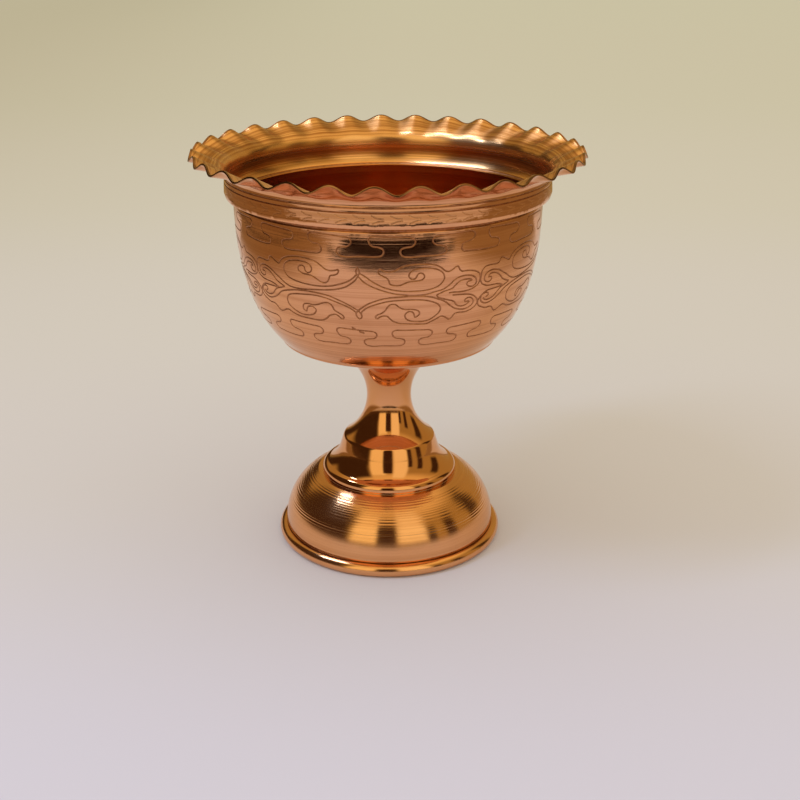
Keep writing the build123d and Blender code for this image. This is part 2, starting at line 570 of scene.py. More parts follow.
def flowing(points: np.ndarray, spacing: float) -> np.ndarray:
    """Draws a smooth line through points, as the engraver's tool moves.

    Args:
        points: Rows of two numbers.
        spacing: Distance between the points of the result.

    Returns:
        Evenly spaced rows of two numbers.
    """
    ends = np.vstack([2 * points[0] - points[1], points, 2 * points[-1] - points[-2]])
    knots = np.concatenate([[0.0], np.cumsum(np.sqrt(np.linalg.norm(np.diff(ends, axis=0), axis=1)) + 1e-9)])
    pieces = []
    for i in range(len(points) - 1):
        near, k = ends[i:i + 4], knots[i:i + 4]
        t = np.linspace(k[1], k[2], 14, endpoint=False)[:, None]
        once = [(near[j] * (k[j + 1] - t) + near[j + 1] * (t - k[j])) / (k[j + 1] - k[j]) for j in range(3)]
        twice = [(once[j] * (k[j + 2] - t) + once[j + 1] * (t - k[j])) / (k[j + 2] - k[j]) for j in range(2)]
        pieces.append((twice[0] * (k[2] - t) + twice[1] * (t - k[1])) / (k[2] - k[1]))
    dense = np.vstack(pieces + [points[-1:]])
    way = way_along(dense)
    stops = np.linspace(0.0, way[-1], max(3, round(way[-1] / spacing)) + 1)
    return np.stack([np.interp(stops, way, dense[:, k]) for k in (0, 1)], 1)


@dataclass
class EngravedBand:
    """A band of a spun wall that is cut with lines.

    The wall is laid flat by a map that keeps angles, so a cut of one width stays one width on the wall.
    """

    outline: Line  # the wall's section, from below upwards
    strokes: list[Line]  # middle lines of the cuts, in bearing and height
    width: float
    depth: float
    steps: int
    skin: Skin = Skin.ENGRAVED
    stride: float = 0.42  # along a cut
    margin: float = 0.15  # bare strip at the seam
    overlap: float = 3.0  # how far past the seam a cut is still drawn

    def __post_init__(self) -> None:
        """Works out the flat map of the wall."""
        self.radii, self.heights = np.array(self.outline, float).T
        gaps = np.hypot(np.diff(self.radii), np.diff(self.heights))
        self.scale = float(self.radii.mean())
        middles = (self.radii[1:] + self.radii[:-1]) / 2
        self.rises = np.concatenate([[0.0], np.cumsum(gaps / middles)]) * self.scale
        self.half_turn = math.pi * self.scale
        way = np.concatenate([[0.0], np.cumsum(gaps)])
        self.leans = np.gradient(self.radii, way), np.gradient(self.heights, way)

    def flat(self, stroke: Line) -> np.ndarray:
        """Lays a stroke flat."""
        bearings, heights = np.array(stroke, float).T
        return np.stack([np.radians(bearings) * self.scale, np.interp(heights, self.heights, self.rises)], 1)

    def half_width(self, rise: np.ndarray | float) -> np.ndarray | float:
        """Gives half the width of a cut on the flat map at a rise."""
        return self.width / 2 * self.scale / np.interp(rise, self.rises, self.radii)

    def centre_lines(self) -> list[np.ndarray]:
        """Gives the middle lines of all cuts on the flat map, repeated a little past the seam.

        Returns:
            The lines, as rows of two numbers.
        """
        lines = []
        for stroke in self.strokes:
            line = flowing(self.flat(stroke), self.stride)
            for turn in (-2, 0, 2):
                shifted = line + np.array([turn * self.half_turn, 0.0])
                if np.abs(shifted[:, 0]).min() < self.half_turn + self.overlap:
                    lines.append(shifted)
        return lines

    @staticmethod
    def nearest(lines: list[np.ndarray]) -> KDTree:
        """Makes a search tree of finely spaced points on the middle lines.

        Args:
            lines: The middle lines.

        Returns:
            The tree, ready to search.
        """
        parts = []
        for line in lines:
            for share in np.linspace(0.0, 1.0, 5, endpoint=False):
                parts.append(line[:-1] * (1 - share) + line[1:] * share)
            parts.append(line[-1:])
        points = np.vstack(parts)
        tree = KDTree(len(points))
        for i, (x, y) in enumerate(points.tolist()):
            tree.insert((x, y, 0.0), i)
        tree.balance()
        return tree

    def edge_loop(self) -> tuple[list[Point], list[tuple[int, int]]]:
        """Walks round the flat wall: its two rims and the two sides of its seam.

        Returns:
            The points and the links between them.
        """
        top = float(self.rises[-1])
        turns = np.linspace(-self.half_turn, self.half_turn, self.steps + 1)
        climbs = np.linspace(0.0, top, max(4, round(top / 0.25)) + 1)[1:-1]
        points = [(x, 0.0) for x in turns] + [(self.half_turn, y) for y in climbs]
        points += [(x, top) for x in turns[::-1]] + [(-self.half_turn, y) for y in climbs[::-1]]
        links = [(i, (i + 1) % len(points)) for i in range(len(points))]
        return points, links

    def inside(self, x: float, y: float) -> bool:
        """Tells whether a point of the flat map is clear of the wall's edges."""
        top = self.rises[-1] - self.margin
        return abs(x) < self.half_turn - self.margin and self.margin < y < top

    def add_cut(self, line: np.ndarray, tree: KDTree, points: list[Point],
                links: list[tuple[int, int]]) -> None:
        """Adds the middle and both edges of one cut to the net.

        Args:
            line: The cut's middle line on the flat map.
            tree: Search tree of all middle lines.
            points: Points of the net, which grow.
            links: Links of the net, which grow.
        """
        along = headings(line)
        across = np.stack([-along[:, 1], along[:, 0]], 1)
        half = self.half_width(line[:, 1])[:, None]
        left, right = line + across * half, line - across * half
        ends = []
        for end, sign in ((0, -1.0), (-1, 1.0)):
            out = along[end] * sign
            side = across[end]
            tips = [out * math.cos(a) + side * math.sin(a) for a in (math.pi / 4, 0.0, -math.pi / 4)]
            ends.append([line[end] + tip * half[end] for tip in tips])
        border = np.vstack([ends[0][::-1], left, ends[1], right[::-1], ends[0][2:]])
        for row, is_edge in ((line, False), (border, True)):
            last = None
            for x, y in row.tolist():
                keep = self.inside(x, y)
                if keep and is_edge:
                    keep = tree.find((x, y, 0.0))[2] > 0.9 * float(self.half_width(y))
                if keep:
                    points.append((x, y))
                    if last is not None:
                        links.append((last, len(points) - 1))
                    last = len(points) - 1
                else:
                    last = None

    def fill(self, tree: KDTree, points: list[Point]) -> None:
        """Adds points between the cuts, so that the wall stays round.

        Args:
            tree: Search tree of all middle lines.
            points: Points of the net, which grow.
        """
        columns = self.steps // 2
        rows = max(3, round(self.rises[-1] / 1.5))
        for j in range(1, rows):
            y = float(self.rises[-1]) * j / rows
            for i in range(columns):
                x = (2 * (i + 0.5 + 0.5 * (j % 2)) / columns - 1) * self.half_turn
                near = tree.find((x, y, 0.0))[2]
                if self.inside(x, y) and near > float(self.half_width(y)) + 0.3:
                    points.append((x, y))

    def build(self, bm: bmesh.types.BMesh) -> None:
        """Cuts the band and adds it to a mesh, with its exact normals in the mesh's layers.

        Args:
            bm: The mesh that takes it.
        """
        lines = self.centre_lines()
        tree = self.nearest(lines)
        points, links = self.edge_loop()
        for line in lines:
            self.add_cut(line, tree, points, links)
        self.fill(tree, points)
        flat, _, faces, *_ = delaunay_2d_cdt([Vector(p) for p in points], links, [], 0, 1e-5, False)
        x, y = np.array([tuple(p) for p in flat], float).T
        found = [tree.find((a, b, 0.0)) for a, b in zip(x.tolist(), y.tolist())]
        away = np.stack([x, y], 1) - np.array([tuple(f[0])[:2] for f in found])
        near = np.linalg.norm(away, axis=1)
        half = self.half_width(y)
        share = np.clip(near / half, 0.0, 1.0)
        bearing = x / self.scale
        radius, height = (np.interp(y, self.rises, values) for values in (self.radii, self.heights))
        lean_r, lean_z = (np.interp(y, self.rises, values) for values in self.leans)
        lean = np.hypot(lean_r, lean_z)
        lean_r, lean_z = lean_r / lean, lean_z / lean
        radial = np.stack([np.sin(bearing), -np.cos(bearing), np.zeros_like(bearing)], 1)
        around = np.stack([np.cos(bearing), np.sin(bearing), np.zeros_like(bearing)], 1)
        upward = np.array([0.0, 0.0, 1.0])
        climb = radial * lean_r[:, None] + upward * lean_z[:, None]
        normal = radial * lean_z[:, None] - upward * lean_r[:, None]
        spot = radial * radius[:, None] + upward * height[:, None]
        spot = spot - normal * (self.depth * (1 - share**2))[:, None]
        unit = away / np.maximum(near, 1e-9)[:, None]
        slope = 2 * self.depth / (self.width / 2) * share
        tilt = around * unit[:, :1] + climb * unit[:, 1:]
        groove = normal - tilt * slope[:, None]
        groove /= np.linalg.norm(groove, axis=1)[:, None]
        skin_layer = bm.verts.layers.float_vector["skin"]
        groove_layer = bm.verts.layers.float_vector["groove"]
        band_layer = bm.faces.layers.int["band"]
        verts = []
        for place, plain, cut in zip((spot * MM).tolist(), normal.tolist(), groove.tolist()):
            vert = bm.verts.new(place)
            vert[skin_layer] = plain
            vert[groove_layer] = cut
            verts.append(vert)
        for corners in faces:
            middle = [sum(values[c] for c in corners) / len(corners) for values in (x, y)]
            face = bm.faces.new([verts[c] for c in corners])
            cut = tree.find((*middle, 0.0))[2] < 0.96 * float(self.half_width(middle[1]))
            face.material_index = self.skin.value if cut else Skin.OUTSIDE.value
            face[band_layer] = 1


class Ornament:
    """The lines that the engraver cut: two key borders and a scrolling tile that goes four times round."""

    tile_turn = 90.0
    key_count = 16
    leaf_count = 62
    key_drift = 2.3  # degrees by which the borders were laid out unevenly
    # Right of the crossing, above: the scroll, its leaf, and the outline into the curls
    scroll_right_high: Line = [
        (-9.5, 127.0), (-7.4, 125.8), (-5.4, 124.3), (-3.0, 122.8), (0.0, 121.5), (4.0, 120.6),
        (9.0, 120.3), (14.0, 120.5), (17.0, 121.2), (19.0, 122.5), (20.1, 124.3), (19.7, 126.1),
        (18.2, 127.5), (16.0, 128.3), (13.0, 128.6), (10.4, 128.5), (8.4, 127.8), (7.5, 126.5),
        (7.7, 125.5), (8.7, 124.8), (9.8, 125.1), (10.3, 126.1), (11.0, 126.9), (12.3, 126.7),
        (12.9, 125.6), (12.2, 124.5), (10.5, 124.1), (7.6, 123.9), (6.0, 123.3), (4.6, 122.7),
        (2.3, 122.7), (1.0, 123.2), (0.7, 124.3), (0.1, 125.3), (-1.4, 126.1), (-2.7, 127.0),
        (-2.9, 128.0), (-2.4, 128.7), (-1.0, 128.0), (1.0, 127.7), (3.0, 128.3), (5.0, 129.4),
        (8.0, 130.1), (12.0, 130.2), (15.5, 129.8), (17.5, 129.2), (19.0, 128.2), (20.3, 127.1),
        (21.6, 126.7), (23.0, 127.3), (24.3, 128.2), (25.1, 128.2), (25.8, 127.0), (26.6, 126.3),
        (28.5, 126.2), (31.0, 125.9), (33.0, 125.2), (34.2, 124.3), (34.6, 123.2), (34.5, 121.6),
        (34.0, 120.4), (33.0, 119.6), (31.5, 119.0), (29.5, 118.6), (26.5, 118.5), (23.5, 118.7),
        (22.4, 118.6)]
    band_right_high: Line = [
        (-10.0, 129.0), (-10.5, 128.2), (-10.5, 127.2), (-10.0, 126.1), (-9.2, 125.0), (-8.0, 123.8),
        (-6.0, 122.5), (-3.0, 121.2), (0.0, 120.2), (2.5, 119.5), (6.0, 119.0), (10.0, 118.7),
        (14.0, 118.9), (17.0, 119.6), (19.5, 120.1), (21.0, 120.9), (22.5, 122.0), (24.0, 123.3),
        (26.0, 124.2), (28.5, 124.5), (31.0, 124.0), (32.6, 122.9), (33.1, 121.5), (32.6, 120.4),
        (31.2, 119.9), (29.8, 120.3), (29.0, 121.2), (29.5, 122.0), (30.8, 122.2)]
    curl_right_high: Line = [
        (17.7, 118.3), (19.5, 119.1), (22.0, 119.8), (23.5, 120.3), (24.6, 121.4), (25.7, 122.3),
        (27.2, 122.9), (29.0, 123.0), (30.5, 122.8), (31.1, 122.3)]
    # Right of the crossing, below
    scroll_right_low: Line = [
        (-9.4, 112.0), (-8.6, 112.9), (-7.3, 113.9), (-5.0, 115.0), (-2.0, 116.0), (1.0, 116.7),
        (5.0, 117.0), (9.0, 117.0), (13.0, 116.7), (16.0, 115.9), (18.5, 114.6), (19.5, 113.0),
        (19.0, 111.4), (17.5, 110.0), (15.5, 108.8), (13.5, 108.3), (10.5, 108.4), (8.0, 108.9),
        (6.9, 109.7), (6.4, 110.9), (6.9, 112.0), (8.0, 112.5), (9.2, 112.2), (9.8, 111.2),
        (10.1, 110.1), (11.2, 110.7), (11.8, 111.6), (11.1, 112.7), (9.0, 113.3), (6.0, 113.5),
        (4.3, 114.3), (3.0, 115.4), (1.2, 115.4), (0.2, 114.5), (-0.7, 113.1), (-2.0, 112.0),
        (-3.7, 111.2), (-4.3, 110.3), (-3.6, 109.8), (-2.8, 110.4), (-1.5, 110.9), (0.0, 110.8),
        (1.0, 109.8), (2.2, 108.8), (4.0, 108.0), (7.0, 107.6), (11.0, 107.3), (14.5, 107.2),
        (16.0, 107.8), (18.0, 108.7), (20.0, 109.7), (21.2, 109.5), (22.3, 108.8), (23.5, 108.1),
        (24.5, 108.8), (25.5, 110.1), (27.0, 110.3), (30.0, 110.2), (32.5, 110.8), (34.2, 112.0),
        (34.8, 113.2), (34.5, 114.4), (33.5, 115.5), (32.0, 116.5), (30.0, 117.1), (27.0, 117.4),
        (23.9, 117.6)]
    band_right_low: Line = [
        (-10.2, 109.5), (-11.0, 110.4), (-11.3, 111.6), (-10.4, 112.8), (-9.2, 113.8), (-8.0, 114.8),
        (-6.8, 115.5), (-4.5, 116.5), (-2.0, 117.4), (1.0, 118.0), (5.0, 118.3), (9.0, 118.4),
        (13.0, 118.2), (16.0, 117.6), (18.5, 116.6), (20.0, 116.0), (21.5, 115.1), (22.5, 114.2),
        (23.8, 113.2), (25.0, 112.4), (27.0, 111.7), (29.0, 111.4), (31.0, 111.8), (32.4, 112.7),
        (32.9, 114.0), (32.2, 115.1), (31.0, 115.7), (29.8, 115.6), (29.0, 115.0), (29.3, 114.3),
        (30.6, 114.4)]
    curl_right_low: Line = [
        (17.7, 118.2), (18.2, 117.4), (20.0, 116.7), (22.0, 116.0), (23.8, 115.4), (24.8, 114.8),
        (25.4, 113.9), (26.5, 113.1), (28.4, 112.8), (30.0, 113.2), (31.0, 114.0)]
    # Left of the crossing, above
    scroll_left_high: Line = [
        (-10.6, 126.4), (-11.1, 125.7), (-12.0, 124.9), (-13.2, 124.0), (-15.0, 123.1), (-17.5, 122.2),
        (-20.0, 121.5), (-24.0, 121.0), (-28.0, 121.0), (-32.0, 121.3), (-35.0, 121.8), (-37.5, 122.7),
        (-38.7, 124.0), (-39.0, 125.5), (-38.6, 127.0), (-37.3, 128.2), (-35.0, 129.1), (-32.0, 129.5),
        (-29.0, 129.2), (-27.2, 128.2), (-26.8, 126.9), (-27.5, 125.8), (-28.8, 125.5), (-29.5, 126.3),
        (-29.7, 127.3), (-30.6, 127.9), (-31.8, 127.6), (-32.4, 126.7), (-32.0, 125.6), (-30.8, 125.0),
        (-29.0, 124.8), (-27.2, 124.6), (-25.3, 123.7), (-23.8, 122.8), (-22.0, 122.5), (-20.9, 123.2),
        (-20.3, 124.4), (-19.9, 125.3), (-18.5, 125.7), (-17.2, 126.3), (-16.7, 127.2), (-16.7, 127.9),
        (-17.6, 127.6), (-19.0, 127.3), (-20.8, 127.3), (-22.0, 127.9), (-23.5, 129.0), (-25.0, 129.9),
        (-27.0, 130.5), (-30.0, 130.9), (-33.5, 130.8), (-36.5, 130.2), (-39.0, 129.2), (-40.5, 127.8),
        (-41.2, 126.9), (-42.5, 127.2), (-44.0, 128.0), (-45.5, 128.6), (-46.2, 128.2), (-46.7, 127.0),
        (-48.0, 126.6), (-50.0, 126.7), (-53.0, 126.6), (-54.0, 126.0), (-54.8, 125.0), (-55.0, 123.5),
        (-55.0, 121.5), (-54.2, 120.2), (-53.0, 119.5), (-51.5, 119.0), (-49.0, 118.8), (-47.0, 118.7),
        (-45.5, 118.4), (-44.0, 117.9), (-43.2, 117.5)]
    band_left_high: Line = [
        (-10.0, 129.0), (-9.5, 128.1), (-9.5, 127.0), (-9.9, 126.0), (-10.5, 125.0), (-11.3, 124.0),
        (-13.0, 122.6), (-15.0, 121.4), (-17.5, 120.6), (-20.0, 120.1), (-24.0, 119.6), (-28.0, 119.2),
        (-32.0, 118.9), (-35.0, 118.8), (-37.0, 119.0), (-38.7, 119.5), (-40.2, 120.3), (-42.0, 121.5),
        (-44.0, 122.6), (-45.8, 123.7), (-47.7, 124.4), (-50.0, 124.7), (-52.0, 124.2), (-53.1, 123.2),
        (-53.4, 121.9), (-52.8, 120.9), (-51.5, 120.4), (-50.2, 120.7), (-49.8, 121.6), (-50.4, 122.2),
        (-51.3, 122.2)]
    curl_left_high: Line = [
        (-40.0, 118.5), (-42.0, 119.2), (-43.8, 120.1), (-45.1, 121.3), (-46.5, 122.5), (-48.0, 123.2),
        (-49.8, 123.5), (-51.1, 123.0), (-51.4, 122.3)]
    # Left of the crossing, below
    scroll_left_low: Line = [
        (-11.4, 112.1), (-12.0, 112.6), (-13.0, 113.3), (-15.0, 114.3), (-17.5, 115.2), (-20.0, 116.0),
        (-23.0, 116.8), (-27.0, 117.2), (-31.0, 116.9), (-35.0, 116.4), (-38.0, 115.6), (-39.4, 114.2),
        (-39.6, 112.6), (-39.0, 111.2), (-37.0, 109.8), (-35.0, 109.0), (-33.0, 108.6), (-30.5, 108.8),
        (-28.5, 109.4), (-27.3, 110.4), (-26.9, 111.4), (-27.6, 112.2), (-29.0, 112.6), (-30.4, 112.0),
        (-30.9, 110.9), (-31.3, 110.2), (-32.1, 110.5), (-32.5, 111.5), (-31.9, 112.9), (-30.0, 113.4),
        (-27.5, 113.3), (-25.5, 113.8), (-24.0, 114.5), (-22.3, 114.9), (-20.9, 114.6), (-20.0, 113.6),
        (-19.4, 112.3), (-18.0, 111.4), (-16.8, 110.7), (-16.0, 109.8), (-16.3, 109.1), (-17.0, 109.0),
        (-17.8, 109.8), (-19.0, 110.5), (-20.5, 110.3), (-21.8, 109.7), (-22.8, 108.7), (-24.5, 107.7),
        (-27.0, 107.3), (-31.0, 107.4), (-35.0, 107.6), (-38.0, 108.3), (-40.0, 109.2), (-41.5, 109.0),
        (-43.0, 108.3), (-44.5, 107.8), (-45.7, 108.2), (-47.0, 109.6), (-48.0, 110.1), (-50.5, 110.1),
        (-52.5, 110.8), (-54.0, 111.5), (-54.8, 112.5), (-54.9, 114.0), (-54.0, 115.4), (-52.4, 116.6),
        (-51.0, 117.1), (-49.0, 117.2), (-46.0, 117.3), (-43.4, 117.4)]
    band_left_low: Line = [
        (-10.2, 109.5), (-9.5, 109.8), (-9.2, 110.7), (-9.6, 111.8), (-10.5, 112.8), (-11.8, 113.6),
        (-13.5, 114.6), (-15.5, 115.6), (-18.0, 116.6), (-20.5, 117.5), (-23.0, 118.0), (-26.0, 118.3),
        (-30.0, 118.4), (-34.0, 118.1), (-37.0, 117.5), (-39.5, 116.9), (-42.0, 116.0), (-43.6, 114.8),
        (-45.5, 113.5), (-47.5, 112.6), (-50.0, 112.0), (-52.2, 112.4), (-53.6, 113.5), (-53.9, 114.7),
        (-52.9, 115.9), (-51.5, 116.3), (-50.5, 115.9), (-50.3, 115.1), (-51.3, 114.6)]
    curl_left_low: Line = [
        (-40.0, 118.3), (-42.0, 117.5), (-44.0, 116.9), (-45.4, 115.9), (-46.7, 114.7), (-48.0, 113.8),
        (-50.0, 113.3), (-51.8, 113.6), (-52.5, 114.3)]
    # One step of a key border: bearing from the middle of a cap, and share of the border's height
    key_step: Line = [
        (-8.1, 0.73), (-7.9, 0.90), (-6.9, 0.99), (-3.5, 1.0), (3.5, 1.0), (6.9, 0.98), (8.0, 0.88),
        (8.1, 0.70), (7.0, 0.54), (4.5, 0.47), (3.2, 0.38), (2.9, 0.20), (3.7, 0.05), (6.0, 0.0),
        (11.2, 0.0), (16.5, 0.0), (18.8, 0.05), (19.6, 0.20), (19.3, 0.38), (18.0, 0.47), (15.5, 0.54)]
    key_tilts: tuple[float, ...] = (-0.5, 0.7, -0.6, -0.8)  # rise along each cap, millimetres
    # Where the tool slipped once on the front
    slips: list[Line] = [
        [(-13.3, 105.8), (-12.7, 105.5), (-12.1, 105.2)], [(-13.2, 105.45), (-12.6, 105.2), (-12.0, 104.9)],
        [(-10.5, 104.25), (-9.8, 104.05), (-9.1, 103.85)], [(-10.4, 103.95), (-9.7, 103.75), (-9.0, 103.55)]]

    def tile(self) -> list[Line]:
        """Gives the strokes of the tile on the front."""
        return [line for name, line in vars(type(self)).items()
                if name.startswith(("scroll_", "band_", "curl_"))]

    @staticmethod
    def by_hand(bearing: float, height: float) -> Point:
        """Moves a point a little, as no two tiles are cut alike. The front stays.

        Args:
            bearing: The point's bearing.
            height: Its height.

        Returns:
            The moved point.
        """
        turn = math.radians(bearing)
        drift = (1 - math.cos(turn)) / 2
        aside = 0.9 * drift * math.sin(5 * turn + 0.7)
        lift = 0.28 * drift * math.sin(7 * turn + 1.3)
        return bearing + aside, height + lift

    def scrolls(self) -> list[Line]:
        """Gives the scrolling tile's strokes all round."""
        return [[self.by_hand(bearing + self.tile_turn * turn, height) for bearing, height in line]
                for turn in (-1, 0, 1, 2) for line in self.tile()]

    def key_border(self, low: float, high: float, first_cap: float) -> Line:
        """Gives one key border as a stroke that overlaps itself at the back.

        Args:
            low: Height of its lower edge.
            high: Height of its upper edge.
            first_cap: Bearing of the middle of the cap nearest to the front.

        Returns:
            The stroke.
        """
        line = []
        pitch = 360.0 / self.key_count
        for step in range(-self.key_count // 2, self.key_count // 2):
            turn = step * pitch
            tilt = self.key_tilts[step % len(self.key_tilts)]
            for across, share in self.key_step:
                bearing = turn + across
                drift = self.key_drift * math.sin(math.radians(bearing))
                lift = tilt * across / 16.0 if across < 9 else 0.0
                line.append((first_cap + bearing - drift, low + (high - low) * share + lift))
        closing_bearing, closing_height = line[0]
        line.append((closing_bearing + 360.0, closing_height))
        return line

    def collar_leaves(self, low: float, high: float) -> list[Line]:
        """Gives the two rows of slanting dashes on the collar.

        Args:
            low: Height of the lower row's foot.
            high: Height of the upper row's head.

        Returns:
            The strokes.
        """
        strokes = []
        middle = (low + high) / 2
        for i in range(self.leaf_count):
            start = -180.0 + 360.0 * (i + 0.5) / self.leaf_count
            sway = 0.25 * math.sin(2.4 * i)
            head, foot = high + 0.1 * sway, low + 0.1 * sway
            strokes.append([(start - 1.7, head), (start - 0.2, high - 0.8), (start + 1.9, middle + 0.35)])
            strokes.append([(start - 1.5, foot), (start + 0.2, low + 0.8), (start + 2.0, middle - 0.35)])
        return strokes


# Pieces


@dataclass
class Bowl:
    """The bowl: a spun shell with two engraved bands and a crimped brim."""

    steps: int = 434  # fourteen to each crimp
    sheet: float = 0.9
    floor_radius: float = 24.5
    floor_z: float = 80.15
    heel: Point = (42.2, 86.65)
    wall_handles: tuple[Point, Point] = ((49.94, 94.61), (58.95, 107.25))
    wall_radius: float = 58.95
    cut_z: Point = (97.0, 141.1)  # the engraved part of the wall
    collar: tuple[Point, Point, Point] = ((58.95, 141.75), (62.3, 145.1), (62.08, 149.35))
    collar_cut_z: Point = (143.3, 148.4)
    brim_root: Point = (62.0, 151.05)
    brim_rise: float = 3.3
    inner_rise: float = 4.05
    brim_sheet: float = 0.75
    brim_spaces: int = 14
    brim_bend: Point = (67.08, 155.65)
    brim_edge: Point = (74.5, 158.65)
    brim_slope: float = 22.0
    brim_over: Point = (-0.281, 0.695)  # from the lower to the upper edge of the brim's cut face
    crimps: int = 31
    crimp_height: float = 1.45  # square to the sheet, either way
    crimp_round: float = 0.06  # how much rounder crests are than troughs
    crimp_bend: float = 0.3  # share of a crimp's height that the brim's bend takes
    first_crest: float = -2.95  # bearing
    cut_width: float = 0.6
    cut_depth: float = 0.15
    dash_width: float = 0.5
    dash_depth: float = 0.025
    lower_keys: tuple[float, float, float] = (98.2, 104.8, 9.7)  # low, high, bearing of the first cap
    upper_keys: tuple[float, float, float] = (133.1, 140.1, 1.7)
    leaf_z: Point = (145.3, 148.1)
    # Turned grooves: distance outside the wall or the neck, and height
    throat_dip: tuple[Point, ...] = (
        (-0.02, 141.35), (-0.2, 141.55), (-0.3, 141.8), (-0.2, 142.1), (0.25, 142.5))
    neck_low: tuple[Point, ...] = (
        (0.04, 148.62), (-0.1, 148.74), (-0.16, 148.9), (-0.1, 149.06), (0.02, 149.18))
    neck_ridge: tuple[Point, ...] = ((0.05, 149.7),)
    neck_high: tuple[Point, ...] = (
        (0.01, 150.3), (-0.12, 150.42), (-0.18, 150.6), (-0.12, 150.78), (-0.02, 150.9))

    def wall(self, count: int, inset: float = 0.0) -> Line:
        """Gives the wall from the heel to the collar.

        Args:
            count: Number of spaces.
            inset: Distance inside the outer face.

        Returns:
            The points, from below.
        """
        top = (self.wall_radius, self.collar[0][1])
        line = np.array(bezier([self.heel, *self.wall_handles, top], count))
        along = headings(line)
        moved = line + np.stack([-along[:, 1], along[:, 0]], 1) * inset
        return [tuple(p) for p in moved]

    @staticmethod
    def stretch(line: Line, low: float, high: float, count: int) -> Line:
        """Gives the part of a rising line between two heights, evenly divided by height.

        Args:
            line: The line, from below.
            low: Height of the first point.
            high: Height of the last point.
            count: Number of spaces.

        Returns:
            The points.
        """
        radii, heights = np.array(line).T
        levels = np.linspace(low, high, count + 1)
        return list(zip(np.interp(levels, heights, radii).tolist(), levels.tolist()))

    @staticmethod
    def at_height(line: Line, height: float) -> Point:
        """Gives the point of a rising line at a height."""
        return Bowl.stretch(line, height, height, 0)[0]

    @staticmethod
    def beside(radius: float, marks: tuple[Point, ...]) -> Line:
        """Gives points at distances outside a radius."""
        return [(radius + out, z) for out, z in marks]

    def underside(self) -> Line:
        """Gives the outside from the pole to the foot of the engraved wall, with the bead at the heel.

        Returns:
            The points, from the pole.
        """
        r, z = self.heel
        bead = arc_about((r - 0.12, z + 0.12), 0.52, -135.0, 150.0, 8)
        cone_end = bead[0]
        wall = self.stretch(self.wall(240), z + 0.55, self.cut_z[0], 11)
        cone = straight((self.floor_radius, self.floor_z), cone_end, 4)
        return joined(straight((0.0, self.floor_z), (self.floor_radius, self.floor_z), 3), cone, bead, wall)

    def collar_line(self, count: int) -> Line:
        """Gives the collar's outside, which swells from the wall and stands straight above.

        Args:
            count: Spaces in the swell, and again above it.

        Returns:
            The points, from below.
        """
        (r, z), widest, high = self.collar
        swell = widest[0] - r
        round_part = arc_about((r, z + swell), swell, -90.0, 90.0, count)
        return joined(round_part, straight((widest[0], z + swell), high, count))

    def neck(self) -> list[tuple[Line, Skin]]:
        """Gives the outside from the engraved collar to the brim, with two turned grooves.

        Returns:
            The runs, from below, each with its skin.
        """
        start = self.at_height(self.collar_line(160), self.collar_cut_z[1])
        marks = (self.neck_low, self.neck_ridge, self.neck_high)
        low, ridge, high = (self.beside(self.collar[2][0], part) for part in marks)
        return [([start, low[0]], Skin.OUTSIDE), (low, Skin.ENGRAVED),
                ([low[-1], *ridge, high[0]], Skin.OUTSIDE), (high, Skin.ENGRAVED),
                ([high[-1], self.brim_root], Skin.OUTSIDE)]

    def throat(self) -> list[tuple[Line, Skin]]:
        """Gives the turned groove between the wall and the collar, whose dip takes the darker cut skin as
        painted shade.

        Returns:
            The runs, from below, each with its skin.
        """
        low = self.at_height(self.wall(400), self.cut_z[1])
        high = self.at_height(self.collar_line(160), self.collar_cut_z[0])
        dip = self.beside(self.collar[0][0], self.throat_dip)
        return [([low, dip[0]], Skin.OUTSIDE), (dip, Skin.ENGRAVED), ([dip[-1], high], Skin.OUTSIDE)]

    def brim(self) -> tuple[Line, list[float]]:
        """Gives the brim's section from under its root, over its edge and back.

        Returns:
            The points, and each point's share of a crimp.
        """
        def share(t: np.ndarray) -> np.ndarray:
            """Gives the share of a crimp along the brim."""
            return 3 * t**2 * (1 - t) * self.crimp_bend + t**3

        root, edge = self.brim_root, self.brim_edge
        lower = [root, (root[0], root[1] + self.brim_rise), self.brim_bend, edge]
        over = self.brim_over
        inner = (root[0] - self.brim_sheet, root[1])
        bend, tip = ((p[0] + over[0], p[1] + over[1]) for p in (self.brim_bend, edge))
        upper = [inner, (inner[0], inner[1] + self.inner_rise), bend, tip]
        t = np.linspace(0.0, 1.0, self.brim_spaces + 1)
        under, top = (bezier(handles, self.brim_spaces) for handles in (lower, upper))
        line = under[:-1] + self.cut_edge(under, top) + top[::-1][1:]
        rounding = len(line) - 2 * self.brim_spaces
        shares = [*share(t)[:-1], *([1.0] * rounding), *share(t)[::-1][1:]]
        return line, [float(s) for s in shares]

    def cut_edge(self, under: Line, top: Line) -> Line:
        """Gives the brim's cut face with its corners broken.

        Args:
            under: The brim's underside, up to the edge.
            top: Its top, up to the edge.

        Returns:
            The points, from below.
        """
        low, high = np.array(under[-1]), np.array(top[-1])
        back_low = np.array(under[-2]) - low
        back_high = np.array(top[-2]) - high
        back_low, back_high = (b / np.linalg.norm(b) for b in (back_low, back_high))
        up = (high - low) / np.linalg.norm(high - low)
        ease = 0.2
        points = [low + back_low * 0.3, low + back_low * 0.06 + up * 0.05, low + up * ease, high - up * ease,
                  high + back_high * 0.06 - up * 0.05, high + back_high * 0.9, high + back_high * 1.1]
        return [tuple(p) for p in points]

